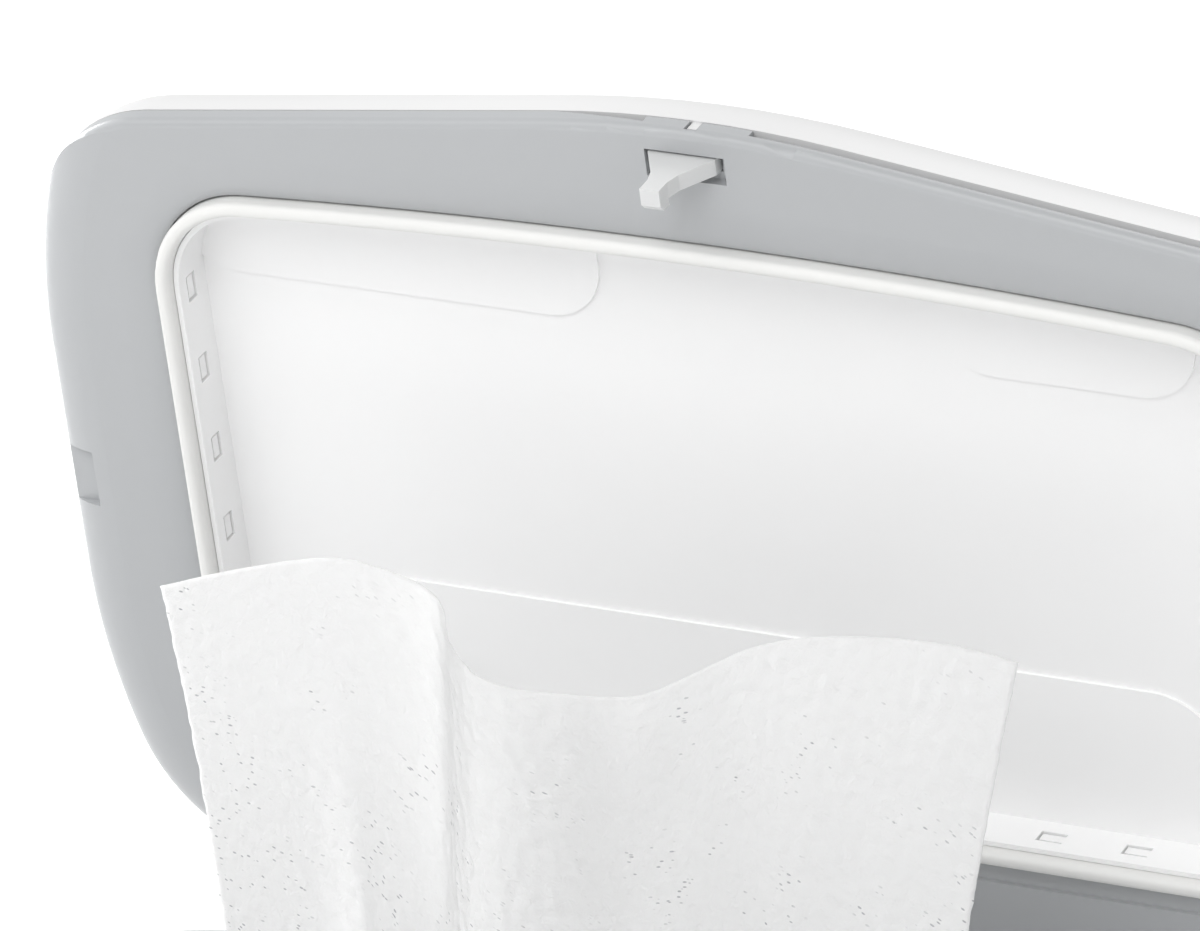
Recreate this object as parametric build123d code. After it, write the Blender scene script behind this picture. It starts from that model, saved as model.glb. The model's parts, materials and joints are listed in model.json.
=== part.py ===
"""Countertop wipes box: tub body, sprung flip-up lid, push-button latch and follower plate.

Millimetres. +X is the user's right, +Y is away from the user, +Z is up. The origin is on the
surface that the box stands on, under the middle of the body. The lid is modelled shut, then
swung up about the hinge to its open rest pose.
"""
from build123d import *
import os
from math import asin, cos, pi, radians, sin, sqrt, tan

# ---------------------------------------------------------------- driving dimensions
# Plan outline, shared by the lid and the body
half_width = 123.55
front_depth = 75.85          # front edge ahead of the origin
rear_depth = 76.65           # rear edge behind it
nose_radius = 200.0          # crown in the middle of the front edge
nose_slope = 7.45            # degrees that the front edge falls back beside the crown
side_sweep = 108.0           # gentle radius that starts each corner
front_corner = 24.5
rear_corner = 30.5
side_front_y = -19.0         # the straight part of each side runs between these two
side_rear_y = 23.0

# Body
pad_thickness = 1.5          # the grip pad holds the shell this far up
body_top = 92.0
body_wall = 2.4
body_bottom_round = 12.0
floor_opening_inset = 20.0
base_plate_inset = 15.0
base_plate_thickness = 2.5
frame_thickness = 4.5
frame_ledge = 3.0
grip_pad_size = (176.0, 88.0)
grip_pad_corner = 12.0

# Tub that holds the wipes
tub_half_width = 94.6
tub_half_depth = 48.3
tub_centre_y = -2.3
tub_corner = 14.0
tub_wall = 1.8
tub_bottom_round = 4.0
tub_flange = 4.0
tub_flange_thickness = 2.0

# Follower plate and wipes
plate_side_gap = 3.0
plate_height = 8.0
plate_skin = 2.2
cover_thickness = 1.5
ballast_depth = 56.0
ballast_thickness = 3.2
slot_size = (88.0, 12.0)
grommet_rim = 4.5
grommet_lip = 3.0
grommet_height = 3.4
stack_height = 60.0
stack_side_gap = 2.6
wipe_thickness = 2.4
wipe_throat = 70.0           # width of the gathered wipe in the slot
wipe_top_width = 151.0       # its width where it fans out
wipe_reach = 105.0           # height of its top edge above the follower plate
wipe_lean = 8.0              # how far its top leans back
wipe_dip = 17.0              # fall of the top edge between its two lobes
wipe_wave = 13.0             # front-to-back swing of the folds

# Lid
lid_gap = 1.0                # between the shut lid's liner and the body
liner_thickness = 3.0
liner_edge = 3.6
soft_edge = (8.6, 3.3)       # width and fall of the edge that bends back at the sides and rear
soft_edge_fade = 9.5         # the bend runs out towards the front, where the edge is crisp
ring_dip = (7.0, 1.3)        # width and fall of the bend towards the seal ring
front_edge_round = 1.5
liner_rim_width = 4.0
shell_gap = 0.3              # shadow line between liner and shell
shell_top = 25.0             # outside of the lid above the liner's face
shell_wall = 2.2
shell_round = 21.0
edge_groove_depth = 2.8
edge_groove_start = 2.0
edge_groove_span = (-34.0, 104.0)    # the finger groove under the lid's front edge
edge_rib_span = (-7.2, 11.3)         # bridged here by a rib
nub_size = (1.6, 0.9, 2.2)
nub_x = 1.5
notch_size = (6.0, 10.2, 2.0)
notch_x = 120.8
notch_y = 5.0
rear_step_y = 55.5
rear_step_height = 0.6
rear_step_half_width = 96.0
rear_step_depth = 14.0

# Seal ring and recessed tray inside the lid
ring_half_width = 99.7
ring_front_y = -54.9
ring_rear_y = 51.9
ring_bow = 1290.0            # the ring's front side is very slightly bowed
ring_corner = 18.5
ring_bead_width = 2.5
ring_bead_proud = 1.8
ring_bead_round = 1.1
seam_gap = 0.1
tray_lip_width = 0.9
tray_lip_back = 0.5          # the tray's lip lies this far behind the liner's face
tray_depth = 9.0
tray_floor = 1.8
pad_height = 0.5
pad_front_edge_y = -33.6
pad_rear_edge_y = 20.9
pad_corner = 10.0
rear_pad_corner = 12.0
left_pad_end_x = -22.7
right_pad_span = (35.8, 81.4)
rear_pad_half_width = 79.0
window_size = (4.6, 2.8)     # snap windows, along the wall and across it
window_pitch = 15.0
window_middle_y = -2.2
side_windows = 5
rear_window_x = (33.7, 48.7, 63.7, 78.7)
retainer_width = 5.0
retainer_height = 3.4
snap_tab_gap = (0.25, 0.8, 0.5)      # round the tab, on the mouth's side, at the front end
snap_tab_reach = (0.1, 2.0)          # inside and outside of the tray wall's middle

# Latch hook on the lid
hook_y = -70.2
hook_thickness = 2.7
hook_half_widths = (5.9, 2.4, 1.7)
hook_lengths = (5.9, 8.6, 11.4)
hook_barb = 1.2
hook_base_size = (36.0, 12.0, 2.5)
hook_base_height = 9.0
hook_screw_x = 13.0
hook_window = (14.0, 4.8)
hook_window_offset = (0.45, 0.65)    # the window's middle lies this far right of and behind the hook's
hook_window_depth = 1.8      # a pocket round the hook, which drops through a tighter hole
screw_radius = 1.25
screw_fit = 0.05
screw_head_radius = 2.6
screw_head_height = 1.6
boss_radius = 3.2

# Release button and catch
button_travel = 2.5
button_size = (34.0, 13.0)
button_z = 72.0
button_proud = 2.6
button_flange = 2.0
button_flange_thickness = 1.4
stem_size = (10.0, 6.0)
stem_rear_y = -62.0
spigot_radius = 1.6
spigot_length = 2.6
slide_gap = 0.3
catch_half_width = 6.0
catch_thickness = 2.3
catch_post = 4.0
guide_wall = 2.7
guide_rear_wall = 2.8
spring_wire = 0.6
spring_radius = 2.6
spring_turns = 4.5

# Hinge
hinge_behind = 7.6           # axis behind the rear edge
hinge_above = 1.5            # and above the liner's face
open_angle = 75.0
barrel_radius = 3.8
pin_radius = 1.5
pin_running_fit = 0.05
pin_head = (2.3, 1.0)
hinge_x = 62.0
outer_knuckle = 7.0
lid_knuckle = 11.0
coil_length = 9.0
knuckle_gap = 0.4
arm_height = 8.2
bracket_thickness = 2.2
bracket_height = 15.0
bracket_screw_drop = 12.5
torsion_wire = 0.7
pin_spring_gap = 0.35
torsion_turns = 8.0
torsion_leg = 7.0

# ---------------------------------------------------------------- worked-out places
liner_z = body_top + lid_gap
hinge_y = rear_depth + hinge_behind
hinge_z = liner_z + hinge_above
arm_reach = hinge_behind + shell_wall - 0.4
front_inner_y = -front_depth + nose_radius - sqrt((nose_radius - body_wall) ** 2
                                                  - (button_size[0] / 2 + button_flange) ** 2)
frame_bottom = body_top - frame_thickness
shell_floor = pad_thickness + body_wall
tub_bottom = shell_floor + base_plate_thickness
stack_bottom = tub_bottom + tub_wall + slide_gap
plate_bottom = stack_bottom + stack_height + slide_gap
plate_top = plate_bottom + plate_height
tub_front_y = tub_centre_y - tub_half_depth - tub_wall
catch_bottom = liner_z - hook_lengths[1] + slide_gap
hook_front_y = hook_y - hook_thickness / 2
hook_rear_y = hook_y + hook_thickness / 2
barb_rear_y = hook_rear_y + hook_barb
catch_front_y = hook_rear_y + slide_gap
flange_rear_y = front_inner_y + slide_gap + button_flange_thickness
guide_front_y = flange_rear_y + button_travel + slide_gap
stem_bottom = button_z - stem_size[1] / 3
stem_top = stem_bottom + stem_size[1]
guide_rear_y = tub_front_y
station_width = 2 * outer_knuckle + lid_knuckle + coil_length + 3 * knuckle_gap


# ---------------------------------------------------------------- outlines and small helpers
def arc_point(centre, radius, angle):
    """Point on a circle; angle in degrees from +X towards the front of the box."""
    return (centre[0] + radius * cos(radians(angle)), centre[1] - radius * sin(radians(angle)))


def outline_arcs(inset, forward=0.0):
    """Centres, radii and turns of the arcs on the right half of the plan outline.

    inset moves the whole outline inwards; forward moves its front edge ahead.
    """
    sweep, nose = side_sweep - inset, nose_radius - inset
    front, rear = front_corner - inset, rear_corner - inset
    slope = radians(nose_slope)
    sweep_x = half_width - side_sweep
    reach = (front_depth + forward - inset - nose * (1 - cos(slope)) + side_front_y - front * cos(slope)
             - (sweep_x + front * sin(slope) - nose * sin(slope)) * tan(slope))
    front_turn = asin(reach * cos(slope) / (side_sweep - front_corner)) - slope
    rear_turn = asin((rear_depth - inset - side_rear_y - rear) / (side_sweep - rear_corner))
    difference_front = side_sweep - front_corner
    difference_rear = side_sweep - rear_corner
    front_centre = (sweep_x + difference_front * cos(front_turn),
                    side_front_y - difference_front * sin(front_turn))
    rear_centre = (sweep_x + difference_rear * cos(rear_turn),
                   side_rear_y + difference_rear * sin(rear_turn))
    return dict(sweep=sweep, nose=nose, front=front, rear=rear, sweep_x=sweep_x,
                front_turn=front_turn * 180 / pi, rear_turn=rear_turn * 180 / pi,
                front_centre=front_centre, rear_centre=rear_centre)


def half_edges(inset, forward):
    """Edges of the right half of the outline, from the front middle to the rear middle."""
    a = outline_arcs(inset, forward)
    nose_centre = (0, -front_depth - forward + nose_radius)
    top = 90 - nose_slope

    def arc(centre, radius, start, end):
        middle = (start + end) / 2
        return ThreePointArc(arc_point(centre, radius, start), arc_point(centre, radius, middle),
                             arc_point(centre, radius, end))

    front_sweep = (a["sweep_x"], side_front_y)
    rear_sweep = (a["sweep_x"], side_rear_y)
    nose = arc(nose_centre, a["nose"], 90, top)
    corner = arc(a["front_centre"], a["front"], top, a["front_turn"])
    side_front = arc(front_sweep, a["sweep"], a["front_turn"], 0)
    side_rear = arc(rear_sweep, a["sweep"], 0, -a["rear_turn"])
    rear = arc(a["rear_centre"], a["rear"], -a["rear_turn"], -90)
    return [nose, Line(nose @ 1, corner @ 0), corner, side_front, Line(side_front @ 1, side_rear @ 0),
            side_rear, rear, Line(rear @ 1, (0, rear_depth - inset))]


def plan(inset=0.0, forward=0.0):
    """Face of the plan outline, moved inwards by inset."""
    right = half_edges(inset, forward)
    left = [edge.mirror(Plane.YZ) for edge in right]
    return make_face(Wire.combine(right + left)[0])


def ring_plan(inset=0.0):
    """Face of the seal ring's outer outline, moved inwards by inset."""
    side, corner, bow = ring_half_width - inset, ring_corner - inset, ring_bow - inset
    bow_y = ring_front_y + ring_bow
    centre_x = ring_half_width - ring_corner
    front_y = bow_y - sqrt((ring_bow - ring_corner) ** 2 - centre_x ** 2)
    rear_y = ring_rear_y - ring_corner
    lean = 90 - asin(centre_x / (ring_bow - ring_corner)) * 180 / pi

    def arc(centre, radius, start, end):
        middle = (start + end) / 2
        return ThreePointArc(arc_point(centre, radius, start), arc_point(centre, radius, middle),
                             arc_point(centre, radius, end))

    bowed = arc((0, bow_y), bow, 90, lean)
    front = arc((centre_x, front_y), corner, lean, 0)
    rear = arc((centre_x, rear_y), corner, 0, -90)
    right = [bowed, front, Line(front @ 1, (side, rear_y)), rear, Line(rear @ 1, (0, ring_rear_y - inset))]
    left = [edge.mirror(Plane.YZ) for edge in right]
    return make_face(Wire.combine(right + left)[0])


def slab(face, low, high):
    """Solid with the plan of a face, between two heights."""
    return extrude(Pos(0, 0, low) * face, high - low)


def box(x, y, z):
    """Box from three (low, high) pairs."""
    size = [span[1] - span[0] for span in (x, y, z)]
    middle = [(span[1] + span[0]) / 2 for span in (x, y, z)]
    return Pos(*middle) * Box(*size)


def rod_x(radius, low, high, y, z):
    """Cylinder along X."""
    return Pos((low + high) / 2, y, z) * Rot(0, 90, 0) * Cylinder(radius, high - low)


def rod_y(radius, low, high, x, z):
    """Cylinder along Y."""
    return Pos(x, (low + high) / 2, z) * Rot(90, 0, 0) * Cylinder(radius, high - low)


def rod_z(radius, low, high, x, y):
    """Cylinder along Z."""
    return Pos(x, y, (low + high) / 2) * Cylinder(radius, high - low)


def edges_at(solid, z, tolerance=0.01):
    """Edges that lie wholly at one height."""
    return [e for e in solid.edges()
            if abs(e.bounding_box().min.Z - z) < tolerance and abs(e.bounding_box().max.Z - z) < tolerance]


def front_edge_y(x, inset):
    """Y of the outline's sloping front edge at a given x, moved inwards."""
    slope = radians(nose_slope)
    crown = -front_depth + nose_radius * (1 - cos(slope))
    return crown + (abs(x) - nose_radius * sin(slope)) * tan(slope) + inset / cos(slope)


def swing_open(piece):
    """Turn a piece of the shut lid about the hinge axis to the open rest pose."""
    axis = Location((0, hinge_y, hinge_z))
    return axis * Rot(-open_angle, 0, 0) * axis.inverse() * piece


# ---------------------------------------------------------------- body
def body_shell():
    outer = slab(plan(), pad_thickness, body_top)
    outer = fillet(edges_at(outer, pad_thickness), body_bottom_round)
    inner = slab(plan(body_wall), shell_floor, body_top + 1)
    inner = fillet(edges_at(inner, shell_floor), body_bottom_round - body_wall)
    shell = outer - inner
    ledge_top = frame_bottom
    ledge = slab(plan(body_wall / 2), ledge_top - frame_ledge, ledge_top)
    ledge -= slab(plan(body_wall + frame_ledge), ledge_top - frame_ledge - 1, ledge_top + 1)
    ledge -= box((-24, 24), (-front_depth - 1, -50), (0, body_top))
    shell += ledge
    shell -= slab(plan(floor_opening_inset), 0, shell_floor + 1)
    shell -= rod_box_y(button_size, slide_gap, -front_depth - 5, front_inner_y + 3)
    for x, y in base_screw_places():
        shell -= rod_z(screw_radius + screw_fit, 0, shell_floor + 1, x, y)
    rear_inner_y = rear_depth - body_wall
    for x in bracket_screw_x():
        shell += rod_y(boss_radius, rear_inner_y - 6, rear_inner_y + body_wall / 2, x, bracket_screw_z())
        shell -= rod_y(screw_radius + screw_fit, rear_inner_y - 7, rear_depth + 1, x, bracket_screw_z())
    return shell


def rod_box_y(size, gap, low, high):
    """Round-ended button section along Y, grown by a gap."""
    width, height = size[0] + 2 * gap, size[1] + 2 * gap
    section = SlotOverall(width, height)
    return extrude(Plane((0, low, button_z), x_dir=(1, 0, 0), z_dir=(0, 1, 0)) * section, high - low)


def grip_pad():
    """Soft sheet under the base that the box stands on."""
    pad = slab(RectangleRounded(*grip_pad_size, grip_pad_corner), 0, pad_thickness)
    return chamfer(edges_at(pad, 0), 0.5)


def base_screw_places():
    inset = (floor_opening_inset + base_plate_inset) / 2
    return [(side * 60, front_edge_y(60, inset)) for side in (-1, 1)] + [
        (side * 70, rear_depth - inset) for side in (-1, 1)]


def base_plate():
    plate = slab(plan(base_plate_inset), shell_floor, tub_bottom)
    plate += slab(plan(floor_opening_inset + slide_gap), pad_thickness, shell_floor)
    for x, y in base_screw_places():
        plate -= rod_z(screw_radius + screw_fit, 0, tub_bottom + 1, x, y)
    return plate


def base_screws():
    """Pan-head screws from below; their heads stay above the pad's face."""
    screws = []
    for x, y in base_screw_places():
        screw = rod_z(screw_radius, pad_thickness, tub_bottom, x, y)
        screw += rod_z(screw_head_radius, pad_thickness - screw_head_height / 2, pad_thickness, x, y)
        screws.append(screw)
    return screws


def tub_section(grow):
    return Pos(0, tub_centre_y) * RectangleRounded(2 * (tub_half_width + grow), 2 * (tub_half_depth + grow),
                                                   tub_corner + grow)


def inner_tub():
    outer = slab(tub_section(tub_wall), tub_bottom, frame_bottom)
    outer = fillet(edges_at(outer, tub_bottom), tub_bottom_round + tub_wall)
    inner = slab(tub_section(0), tub_bottom + tub_wall, frame_bottom + 1)
    inner = fillet(edges_at(inner, tub_bottom + tub_wall), tub_bottom_round)
    flange = slab(tub_section(tub_wall + tub_flange), frame_bottom - tub_flange_thickness, frame_bottom)
    flange -= box((-24, 24), (-front_depth, tub_front_y), (0, body_top))
    return outer + flange - inner


def latch_window():
    """Opening in the frame that the hook drops through."""
    clearance = 1.4
    return box((-hook_window[0] / 2 - 1, hook_window[0] / 2 + 1),
               (hook_front_y - clearance, barb_rear_y + clearance), (frame_bottom - 1, body_top + 1))


def top_frame():
    frame = slab(plan(body_wall + slide_gap), frame_bottom, body_top)
    frame -= slab(tub_section(0), frame_bottom - 1, body_top + 1)
    groove_side = 0.6
    groove_floor = body_top - (ring_bead_proud - lid_gap) - slide_gap - 0.2
    groove = slab(ring_plan(-groove_side), groove_floor, body_top + 1)
    groove -= slab(ring_plan(ring_bead_width + groove_side), groove_floor - 1, body_top + 2)
    frame = frame - groove - latch_window()
    return frame


# ---------------------------------------------------------------- release button
def release_button():
    cap_front = -front_depth - button_proud
    cap = rod_box_y(button_size, 0, cap_front, front_inner_y + slide_gap)
    front_face = cap.faces().sort_by(Axis.Y)[0]
    cap = fillet(front_face.edges(), 1.6)
    cap += rod_box_y(button_size, button_flange, front_inner_y + slide_gap, flange_rear_y)
    half = stem_size[0] / 2
    cap += box((-half, half), (flange_rear_y, stem_rear_y), (stem_bottom, stem_top))
    middle = (stem_bottom + stem_top) / 2
    cap += rod_y(spigot_radius, stem_rear_y, stem_rear_y + spigot_length, 0, middle)
    return cap


def latch_catch():
    """Post on the button's stem whose lip holds the hook's barb."""
    post = box((-catch_half_width + 1, catch_half_width - 1), (stem_rear_y - catch_post, stem_rear_y),
               (stem_top, catch_bottom + catch_thickness))
    lip = box((-catch_half_width, catch_half_width), (catch_front_y, stem_rear_y),
              (catch_bottom, catch_bottom + catch_thickness))
    return post + lip


def button_guide():
    inner = stem_size[0] / 2 + slide_gap
    outer = inner + guide_wall
    floor_top = stem_bottom - slide_gap
    side_top = stem_top + 4
    guide = box((-outer, outer), (guide_front_y, guide_rear_y), (floor_top - guide_wall, side_top))
    guide -= box((-inner, inner), (guide_front_y - 1, guide_rear_y - guide_rear_wall), (floor_top, side_top + 1))
    bridge_front = guide_front_y + 1.8
    guide += box((-outer, outer), (guide_front_y, bridge_front), (stem_top + slide_gap, stem_top + 2.6))
    leg_front = stem_rear_y + button_travel + slide_gap
    for side in (-1, 1):
        span = sorted((side * inner, side * outer))
        guide += box(span, (leg_front, guide_rear_y), (side_top - 1, frame_bottom))
    return guide


def coil(radius, wire, length, turns):
    """Closed-section helix along +Z from the origin, ends square to its own line."""
    line = Helix(pitch=length / turns, height=length, radius=radius)
    section = Plane(origin=line @ 0, z_dir=line % 0) * Circle(wire / 2)
    return sweep(section, path=line, is_frenet=True)


def button_spring():
    rear_wall_front = guide_rear_y - guide_rear_wall
    length = rear_wall_front - stem_rear_y - spring_wire - 2 * screw_fit
    middle = (stem_bottom + stem_top) / 2
    start = stem_rear_y + spring_wire / 2 + screw_fit
    return Pos(0, start, middle) * Rot(-90, 0, 0) * coil(spring_radius, spring_wire, length, spring_turns)


# ---------------------------------------------------------------- hinge
def station_spans(side):
    """X spans of one hinge station, outside to inside: knuckle, lid knuckle, spring, knuckle."""
    start = hinge_x + station_width / 2
    spans = []
    for width in (outer_knuckle, lid_knuckle, coil_length, outer_knuckle):
        spans.append(tuple(sorted((side * start, side * (start - width)))))
        start -= width + knuckle_gap
    return spans


def bracket_screw_x():
    offset = station_width / 2 - outer_knuckle / 2
    return [side * (hinge_x + end * offset) for side in (-1, 1) for end in (-1, 1)]


def bracket_screw_z():
    return hinge_z - bracket_screw_drop


def hinge_brackets():
    """A screwed plate at each hinge station, with two knuckles standing behind it."""
    brackets = []
    for side in (-1, 1):
        spans = station_spans(side)
        low = min(span[0] for span in spans)
        high = max(span[1] for span in spans)
        plate_rear = rear_depth + bracket_thickness
        top = hinge_z - barrel_radius - knuckle_gap
        bracket = box((low, high), (rear_depth, plate_rear), (hinge_z - bracket_height - 2, top))
        for span in (spans[0], spans[3]):
            bracket += rod_x(barrel_radius, span[0], span[1], hinge_y, hinge_z)
            bracket += box(span, (rear_depth, hinge_y), (hinge_z - 2 * barrel_radius, hinge_z - lid_gap - 0.4))
            bracket -= rod_x(pin_radius, span[0] - 1, span[1] + 1, hinge_y, hinge_z)
        for x in bracket_screw_x():
            if low < x < high:
                bracket -= rod_y(screw_radius + screw_fit, rear_depth - 1, plate_rear + 1, x, bracket_screw_z())
        brackets.append(bracket)
    return brackets


def bracket_screws():
    screws = []
    plate_rear = rear_depth + bracket_thickness
    for x in bracket_screw_x():
        screw = rod_y(screw_radius, rear_depth - body_wall - 5, plate_rear, x, bracket_screw_z())
        screw += rod_y(screw_head_radius, plate_rear, plate_rear + screw_head_height, x, bracket_screw_z())
        screws.append(screw)
    return screws


def hinge_pins():
    pins = []
    for side in (-1, 1):
        spans = station_spans(side)
        low = min(span[0] for span in spans)
        high = max(span[1] for span in spans)
        pin = rod_x(pin_radius, low, high, hinge_y, hinge_z)
        head = (high, high + pin_head[1]) if side > 0 else (low - pin_head[1], low)
        pins.append(pin + rod_x(pin_head[0], head[0], head[1], hinge_y, hinge_z))
    return pins


def torsion_springs():
    """Coils on the pins: one leg bears on the bracket, the other end hooks into the lid's arm."""
    mean_radius = pin_radius + torsion_wire / 2 + pin_spring_gap
    low, high = station_spans(1)[2]
    start = low + torsion_wire / 2 + knuckle_gap / 2
    end = high - torsion_wire / 2 - knuckle_gap / 2
    line = Helix(pitch=(end - start) / torsion_turns, height=end - start, radius=mean_radius, lefthand=True)
    wire = sweep(Plane(origin=line @ 0, z_dir=line % 0) * Circle(torsion_wire / 2), path=line, is_frenet=True)
    spring = Pos(start, hinge_y, hinge_z) * Rot(0, 90, 0) * Rot(0, 0, -90) * wire
    front_y = hinge_y - mean_radius
    spring += rod_z(torsion_wire / 2, hinge_z - torsion_leg, hinge_z, start, front_y)
    spring += rod_x(torsion_wire / 2, end, high + knuckle_gap - screw_fit, front_y, hinge_z)
    return [spring, spring.mirror(Plane.YZ)]


# ---------------------------------------------------------------- lid, modelled shut
def lid_shell():
    low, high = liner_z + liner_edge + shell_gap, liner_z + shell_top
    outer = slab(plan(), low, high)
    outer = fillet(edges_at(outer, high), shell_round)
    inner = slab(plan(shell_wall), low - 1, high - shell_wall)
    inner = fillet(edges_at(inner, high - shell_wall), shell_round - shell_wall)
    envelope = slab(plan(shell_wall / 2), low, high)
    envelope = fillet(edges_at(envelope, high), shell_round - shell_wall / 2)
    shell = outer - inner
    boss_low = liner_z + hook_base_height + hook_base_size[2]
    bosses = [rod_z(boss_radius, boss_low, high, x, hook_screw_y()) for x in (-hook_screw_x, hook_screw_x)]
    for boss in bosses:
        shell += boss & envelope
    for x in (-hook_screw_x, hook_screw_x):
        shell -= rod_z(screw_radius + screw_fit, boss_low - 1, boss_low + 7, x, hook_screw_y())
    width, depth, drop = nub_size
    nub_front = -front_depth + shell_gap
    shell += box((nub_x - width / 2, nub_x + width / 2), (nub_front, nub_front + depth), (low - drop, low + 1))
    for side in (-1, 1):
        span = station_spans(side)[1]
        arm = box(span, (hinge_y - arm_reach, hinge_y + barrel_radius),
                  (liner_z + liner_edge + shell_gap, hinge_z + arm_height))
        arm += box(span, (hinge_y - barrel_radius, hinge_y + barrel_radius), (hinge_z, hinge_z + arm_height - 1))
        arm = arm + rod_x(barrel_radius, span[0], span[1], hinge_y, hinge_z)
        outer_edge = [e for e in arm.edges() if abs(e.center().Y - hinge_y - barrel_radius) < 0.01
                      and abs(e.center().Z - hinge_z - arm_height) < 0.01]
        arm = fillet(outer_edge, 3.0) if outer_edge else arm
        shell += arm
        shell -= rod_x(pin_radius + pin_running_fit, span[0] - 1, span[1] + 1, hinge_y, hinge_z)
    return shell


def bent_blank(face, outer, bend, low, height):
    """Slab whose lower edges of one loop bend back with an elliptical section.

    The bend is a fillet as large as the bend is wide, squeezed to the bend's fall. It follows the
    outer loop of the face, or its hole.
    """
    width, fall = bend
    squeeze = fall / width
    blank = slab(face, 0, height / squeeze)
    bottom = blank.faces().sort_by(Axis.Z)[0]
    loop = bottom.outer_wire() if outer else bottom.inner_wires()[0]
    return Pos(0, 0, low) * scale(fillet(loop.edges(), width), by=(1, 1, squeeze))


def soft_panel(low, high):
    """Panel of the plan outline, bent back at its sides and rear and towards the seal ring.

    The outer blank's front edge stands ahead of the outline, so its bend fades out round the corners.
    """
    hole = ring_plan(-seam_gap * 3)
    margin = -2.0
    panel = slab(plan(), low, high)
    front_edges = [e for e in edges_at(panel, low) if e.center().Y < outline_arcs(0)["front_centre"][1]]
    panel = fillet(front_edges, front_edge_round)
    panel &= bent_blank(plan(0, soft_edge_fade), True, soft_edge, low, high - low)
    return panel & bent_blank(plan(margin) - hole, False, ring_dip, low, high - low)


def finger_groove(low, high):
    """Cut under the lid's front edge, rising from nothing at its left end to the rib."""
    start, end = edge_groove_span
    rib_start, rib_end = edge_rib_span
    rear = -front_depth + front_corner
    band = slab(plan(-1), low, high) - slab(plan(edge_groove_depth), low - 1, high + 1)
    full = box((rib_end, end), (-front_depth - 2, rear), (low + edge_groove_start, high))
    side = [(start, high), (rib_start, high), (rib_start, low + edge_groove_start)]
    wedge = extrude(Plane((0, rear, 0), x_dir=(1, 0, 0), z_dir=(0, -1, 0)) * make_face(Polyline(*side, close=True)),
                    front_corner + 2)
    return (band & full) + (band & wedge)


def lid_liner():
    low, high = liner_z, liner_z + liner_edge
    flange = soft_panel(low, high)
    flange -= slab(plan(liner_rim_width), low + liner_thickness, high + 1)
    flange -= finger_groove(low, high + 1)
    nub_clear = nub_size[0] / 2 + shell_gap
    flange -= box((nub_x - nub_clear, nub_x + nub_clear), (-front_depth - 1, -front_depth + 2 * nub_size[1]),
                  (high - nub_size[2] - shell_gap, high + 1))
    half_x, half_y = hook_window[0] / 2, hook_window[1] / 2
    window_x, window_y = hook_window_offset[0], hook_y + hook_window_offset[1]
    flange -= box((window_x - half_x, window_x + half_x), (window_y - half_y, window_y + half_y),
                  (low - 1, low + hook_window_depth))
    hole = hook_half_widths[0] + slide_gap
    flange -= box((-hole, hole), (hook_front_y - slide_gap, hook_rear_y + slide_gap), (low - 1, high + 1))
    for side in (-1, 1):
        x_span = sorted((side * (notch_x - notch_size[0] / 2), side * (notch_x + notch_size[0] / 2)))
        flange -= box(x_span, (notch_y - notch_size[1] / 2, notch_y + notch_size[1] / 2),
                      (low - 1, low + notch_size[2]))
    step = RectangleRounded(2 * rear_step_half_width, rear_step_depth, 4)
    step = Pos(0, rear_step_y + rear_step_depth / 2) * step
    flange += slab(step, low - rear_step_height, low + 0.5)
    return flange


def seal_ring():
    low, high = liner_z - ring_bead_proud, liner_z + liner_thickness
    ring = slab(ring_plan(), low, high) - slab(ring_plan(ring_bead_width), low - 1, high + 1)
    return fillet(edges_at(ring, low), ring_bead_round)


def wall_inset():
    """Inset, from the ring's outline, of the tray's outer wall."""
    return ring_bead_width + seam_gap


def window_places():
    """Centre and wall direction of each snap window: ('x' or 'y' wall normal, x, y)."""
    offset = (side_windows - 1) / 2
    rows = [window_middle_y + (i - offset) * window_pitch for i in range(side_windows)]
    wall_x = ring_half_width - wall_inset() - tray_lip_width / 2
    places = [("x", side * wall_x, y) for side in (-1, 1) for y in rows]
    rear_y = ring_rear_y - wall_inset() - tray_lip_width / 2
    places += [("y", side * x, rear_y) for side in (-1, 1) for x in rear_window_x]
    return places


def window_box(place, grow, reach):
    """Block that fills a window: reach is (inside, outside) of the tray wall's middle."""
    normal, x, y = place
    along = window_size[0] / 2 + grow
    middle = liner_z + (tray_depth - tray_lip_back) / 2
    z_span = (middle - window_size[1] / 2 - grow, middle + window_size[1] / 2 + grow)
    if normal == "x":
        side = 1 if x > 0 else -1
        return box(sorted((x - side * reach[0], x + side * reach[1])), (y - along, y + along), z_span)
    return box((x - along, x + along), (y - reach[0], y + reach[1]), z_span)


def recess_tray():
    low, floor_low = liner_z + tray_lip_back, liner_z + tray_depth
    high = floor_low + tray_floor
    lip_inset = wall_inset() + tray_lip_width
    tray = slab(ring_plan(wall_inset()), low, high) - slab(ring_plan(lip_inset), low - 1, floor_low)
    inside = slab(ring_plan(lip_inset - 0.2), low, floor_low + 1)
    pad_low = floor_low - pad_height
    left = box((-ring_half_width, left_pad_end_x), (ring_front_y, pad_front_edge_y), (pad_low, floor_low + 0.5))
    right = box(right_pad_span, (ring_front_y, pad_front_edge_y), (pad_low, floor_low + 0.5))
    rear = box((-rear_pad_half_width, rear_pad_half_width), (pad_rear_edge_y, ring_rear_y),
               (pad_low, floor_low + 0.5))
    for pad, radius, edge_y in ((left, pad_corner, pad_front_edge_y), (right, pad_corner, pad_front_edge_y),
                                (rear, rear_pad_corner, pad_rear_edge_y)):
        corners = [e for e in pad.edges().filter_by(Axis.Z) if abs(e.center().Y - edge_y) < 0.01]
        tray += fillet(corners, radius) & inside
    for place in window_places():
        tray -= window_box(place, 0, (2, 2))
    return tray


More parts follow.
